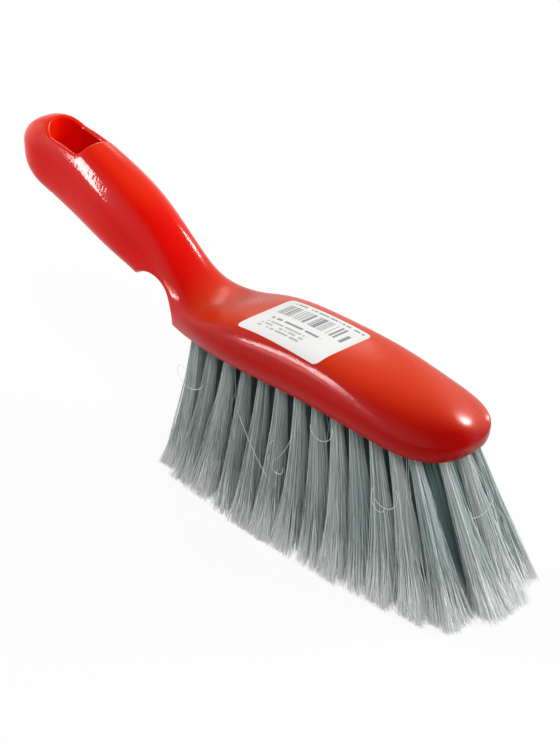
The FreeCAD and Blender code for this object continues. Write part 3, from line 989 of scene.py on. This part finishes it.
def bristle_tree():
    tree = Grower("bristle_row")
    for name, kind in BRISTLE_INLETS.items():
        tree.inlet(name, kind)
    given = tree.add("NodeGroupInput")
    tree.seed = given.also("Seed")
    points = bristle_points(tree, given)
    sway = given.also("Sway")
    thick = given.also("Bristle radius")
    joined = tree.add("GeometryNodeJoinGeometry")
    for grown in (whole_bristles(tree, points, sway, thick), split_ends(tree, points, sway, thick)):
        tree.tree.links.new(grown.socket, joined.socket.node.inputs[0])
    solid = tree.add("GeometryNodeRealizeInstances", None, {"Geometry": joined})
    dressed = tree.add("GeometryNodeSetMaterial", None, {"Geometry": solid, "Material": bristle_finish})
    tree.add("NodeGroupOutput", None, {"Geometry": dressed})
    return tree


grower = bristle_tree()
print("bristle tree has", len(grower.tree.nodes), "nodes")

# %% [markdown]
# The rows. Each row is grown in two halves, at the heel and at the nose, so that no piece gets
# too heavy, and the bristles at the nose spread further to the sides. The tree's inputs are set
# by their identifiers, and the grown half row is then turned into a plain mesh, so that nothing
# is left to work out later.

# %% Grow the rows
BRISTLE_SIZES = {
    "Bristles in a tuft": 400,
    "Bundle radius": 0.0023,
    "Bristle radius": 0.00012,
    "Sway": 0.001,
    "Tuft lean": 0.0045,
    "Ragged trim": 0.0007,
}
END_SPREAD = {"heel": (1.3, 1.3, 1.0), "nose": (1.3, 1.55, 1.0)}
ROW_SEED = 100
HALF_SEED = {"heel": 0, "nose": 50}
TUFT_VECTORS = ("end_middle", "end_half", "end_low", "end_high")
SPARE_ATTRIBUTES = TUFT_VECTORS + (
    "part", "strand", "start", "end", "flare", "phase", "stray", "tuft", "tuft_light_and_shade",
)


def tuft_points(name, chosen):
    """A mesh with one point a tuft, which carries the tuft's measures."""
    mesh = bpy.data.meshes.new(name)
    mesh.from_pydata([tuft.root for tuft in chosen], [], [])
    for attribute in TUFT_VECTORS:
        values = mesh.attributes.new(attribute, "FLOAT_VECTOR", "POINT").data
        for i, tuft in enumerate(chosen):
            values[i].vector = getattr(tuft, attribute)
    # Each tuft's painted light and shade, for the tree that grows its bristles.
    light_and_shade_values = mesh.attributes.new("tuft_light_and_shade", "FLOAT", "POINT").data
    for i, tuft in enumerate(chosen):
        light_and_shade_values[i].value = tuft.tone
    return mesh


def grow(piece, settings):
    """Turn the points into plain bristles, and leave only the attributes that the finish reads."""
    modifier = piece.modifiers.new("bristles", "NODES")
    modifier.node_group = grower.tree
    for socket, value in settings.items():
        modifier[grower.identifiers[socket]] = value
    grown = piece.evaluated_get(bpy.context.evaluated_depsgraph_get())
    piece.data = bpy.data.meshes.new_from_object(grown)
    piece.modifiers.clear()
    for attribute in SPARE_ATTRIBUTES:
        spare = piece.data.attributes.get(attribute)
        if spare:
            piece.data.attributes.remove(spare)
    piece.data.shade_smooth()


def grow_half_row(row, half):
    middle = len(tufts[row]) // 2
    part = slice(None, middle) if half == "heel" else slice(middle, None)
    name = f"bristles_row_{row}_{half}"
    piece = bpy.data.objects.new(name, tuft_points(name, tufts[row][part]))
    bpy.context.collection.objects.link(piece)
    settings = dict(BRISTLE_SIZES)
    settings["End spread"] = END_SPREAD[half]
    settings["Seed"] = ROW_SEED * row + HALF_SEED[half]
    grow(piece, settings)
    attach(piece, "root")
    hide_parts(*tuft_names(row)[part])
    triangles = sum(len(face.vertices) - 2 for face in piece.data.polygons)
    print(piece.name, "has", triangles, "triangles")


for row in tufts:
    for half in HALF_SEED:
        grow_half_row(row, half)

# %% [markdown]
# Stray fibres. On the real broom a few bristles have come loose and curl out of the tufts,
# mostly near the block. Each is drawn as a walk: a step, a small turn, another step. A curve
# with a square profile gives the walk its thickness.

# %% Stray fibres
STRAY_STEPS = 18
STRAY_RADIUS = 0.00011
STRAY_LENGTHS = (0.016, 0.034)
STRAY_STARTS = (0.12, 0.4)
STRAY_HEADINGS = (-2.4, -0.7)
STRAY_BEND = 5.0
STRAY_LIFT = 0.22
STRAY_FINISH = {"along": 0.95, "tone": 0.9}
TUFT_WIDENS = 0.002
UP = Vector((0, 0, 1))
OUTWARD = {1: Vector((0, -1, 0)), 4: Vector((0, 1, 0)), "nose": Vector((1, 0, 0))}
STRAY_TUFTS = {1: (1, 3, 5, 6, 8, 10, 11), 4: (2, 6, 9)}
NOSE_STRAY_ROWS = (2, 3)
STRAY_SEED = 5
chance = random.Random(STRAY_SEED)


def stray_walk(tuft, outward):
    """Points of one loose bristle, from the side of its tuft."""
    share = chance.uniform(*STRAY_STARTS)
    aside = outward.cross(UP)
    from_middle = BRISTLE_SIZES["Bundle radius"] + share * TUFT_WIDENS
    place = tuft.root.lerp(tuft.end_middle, share) + outward * from_middle
    step = chance.uniform(*STRAY_LENGTHS) / STRAY_STEPS
    heading = chance.uniform(*STRAY_HEADINGS)
    bend = chance.uniform(-STRAY_BEND, STRAY_BEND) / STRAY_STEPS
    walk = [place]
    for _ in range(STRAY_STEPS):
        level = aside * math.cos(heading) + UP * math.sin(heading)
        walk.append(walk[-1] + (level + outward * STRAY_LIFT) * step)
        heading += bend
    return walk


def stray_mesh(chosen):
    """All loose bristles as one mesh."""
    line = bpy.data.curves.new("stray_fibres", "CURVE")
    line.dimensions = "3D"
    line.bevel_depth = STRAY_RADIUS
    line.bevel_resolution = 0
    for tuft, outward in chosen:
        walk = stray_walk(tuft, outward)
        spline = line.splines.new("POLY")
        spline.points.add(len(walk) - 1)
        for point, place in zip(spline.points, walk):
            point.co = (*place, 1.0)
    drawn = bpy.data.objects.new("stray_curve", line)
    mesh = bpy.data.meshes.new_from_object(drawn)
    bpy.data.objects.remove(drawn)
    return mesh


def stray_fibres():
    chosen = [(tufts[row][i], OUTWARD[row]) for row in STRAY_TUFTS for i in STRAY_TUFTS[row]]
    chosen += [(tufts[row][-1], OUTWARD["nose"]) for row in NOSE_STRAY_ROWS]
    mesh = stray_mesh(chosen)
    for name, value in STRAY_FINISH.items():
        for point in mesh.attributes.new(name, "FLOAT", "POINT").data:
            point.value = value
    mesh.materials.clear()
    mesh.materials.append(bristle_finish)
    mesh.shade_smooth()
    piece = bpy.data.objects.new("stray_fibres", mesh)
    bpy.context.collection.objects.link(piece)
    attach(piece, "root")
    print(len(chosen), "stray fibres,", len(mesh.polygons), "faces")


stray_fibres()

# %% [markdown]
# The staples. Short pieces of flat wire, hidden in the block, which hold the tufts. They keep
# their CAD shape and only get the look of drawn wire: fine lines along it.

# %% Staple wire
WIRE_DARK = (0.42, 0.42, 0.43, 1.0)
WIRE_PALE = (0.66, 0.66, 0.67, 1.0)
WIRE_STRETCH = (200.0, 9000.0, 9000.0)
WIRE_ROUGHNESS = 0.28
LINE_ROUGHNESS = 0.2


def drawn_wire():
    finish = Finish("drawn_wire", Metallic=1.0)
    lines = finish.noise(finish.vectors("MULTIPLY", finish.place, WIRE_STRETCH), 1.0)
    finish.paint("Base Color", finish.blend(lines, WIRE_DARK, WIRE_PALE))
    finish.paint("Roughness", WIRE_ROUGHNESS + lines * LINE_ROUGHNESS)
    return finish.material


wire = drawn_wire()
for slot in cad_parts["staples"].material_slots:
    slot.material = wire
print("staples dressed")
